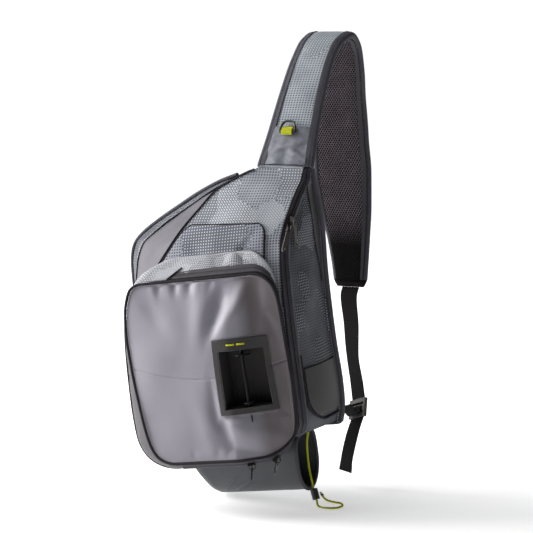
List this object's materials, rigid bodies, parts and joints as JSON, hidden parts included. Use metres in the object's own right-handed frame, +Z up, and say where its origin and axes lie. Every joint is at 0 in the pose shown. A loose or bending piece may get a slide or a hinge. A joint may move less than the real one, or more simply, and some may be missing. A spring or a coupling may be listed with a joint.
{
  "type": "fishing tackle sling bag",
  "caption": "Grey sling bag for fishing tackle with a padded shoulder strap, a zipped bellows pocket with a spool window, and a bottle sleeve along its foot.",
  "frame": {"origin": "under the top of the shoulder strap, where it lies on a shoulder", "axes": "+Z up, the back panel faces +Y towards the wearer, the pockets face -Y, and the strap leaves the bag's right end (+X)"},
  "size_m": [0.3482, 0.3844, 0.6411],
  "materials": {
    "dot_cloth": "grey woven cloth printed with rows of small light dots",
    "dark_dot_cloth": "charcoal woven cloth printed with small grey dots",
    "coated_cloth": "smooth coated grey cloth with a soft sheen",
    "binding": "ribbed charcoal binding tape",
    "dark_tape": "dark zip tape and piping with a slight satin sheen",
    "pad_mesh": "dark air mesh over foam",
    "sleeve_cloth": "smooth coated grey-green cloth",
    "charcoal_foam": "smooth charcoal foam and cloth",
    "webbing": "black woven webbing",
    "hard_plastic": "dark moulded plastic",
    "slider_metal": "gunmetal zip sliders and pulls",
    "yellow_cord": "bright yellow-green webbing and shock cord"
  },
  "bodies": {
    "bag": {"front_panel": "dot_cloth", "wing_panel": "coated_cloth", "side_panel": "dark_dot_cloth", "main_zip_tape": "dark_tape", "back_panel": "pad_mesh", "back_binding": "binding", "top_panel": "dot_cloth", "floor_panel": "sleeve_cloth", "pocket_back": "sleeve_cloth", "pocket_face": "coated_cloth", "pocket_gusset": "dot_cloth", "pocket_piping": "dark_tape", "pocket_zip_tape": "dark_tape", "slip_pocket": "dot_cloth", "window_frame": "charcoal_foam", "spool_well": "charcoal_foam", "tippet_post": "hard_plastic", "tippet_bungee_left": "yellow_cord", "tippet_bungee_right": "yellow_cord", "bottle_sleeve": "sleeve_cloth", "sleeve_mouth_binding": "binding", "fly_patch": "charcoal_foam", "fly_patch_piping": "dark_tape", "strap_pad": "dot_cloth", "strap_lining": "pad_mesh", "strap_binding_left": "binding", "strap_binding_right": "binding", "strap_patch": "coated_cloth", "strap_tab": "yellow_cord", "d_ring": "hard_plastic", "strap_end": "webbing", "ladder_lock": "hard_plastic", "upper_webbing": "webbing", "webbing_tail": "webbing", "lock_tab": "webbing", "main_slider_upper": "slider_metal", "main_slider_lower": "slider_metal", "pocket_slider_left": "slider_metal", "pocket_slider_right": "slider_metal", "retention_cord": "yellow_cord", "cord_lock": "hard_plastic", "cord_tip": "hard_plastic"},
    "main_slider_upper_pull_body": {"main_slider_upper_pull": "slider_metal"},
    "main_slider_lower_pull_body": {"main_slider_lower_pull": "slider_metal"},
    "pocket_slider_left_pull_body": {"pocket_slider_left_pull": "slider_metal"},
    "pocket_slider_right_pull_body": {"pocket_slider_right_pull": "slider_metal"}
  },
  "joints": [
    {"name": "main_slider_upper_pull_hinge", "type": "hinge", "parent": "bag", "child": "main_slider_upper_pull_body", "pos_m": [0.01097, -0.18338, -0.23819], "axis": [-0.185, -0.968, 0.1697], "range_deg": [0, 140]},
    {"name": "main_slider_lower_pull_hinge", "type": "hinge", "parent": "bag", "child": "main_slider_lower_pull_body", "pos_m": [0.00828, -0.19387, -0.24764], "axis": [-0.6515, -0.5865, 0.4813], "range_deg": [0, 140]},
    {"name": "pocket_slider_left_pull_hinge", "type": "hinge", "parent": "bag", "child": "pocket_slider_left_pull_body", "pos_m": [-0.01624, -0.26856, -0.55801], "axis": [-0.2139, 0.8063, -0.5514], "range_deg": [-75, 38]},
    {"name": "pocket_slider_right_pull_hinge", "type": "hinge", "parent": "bag", "child": "pocket_slider_right_pull_body", "pos_m": [0.01546, -0.25598, -0.54932], "axis": [0.1175, 0.8338, -0.5394], "range_deg": [-75, 38]}
  ]
}
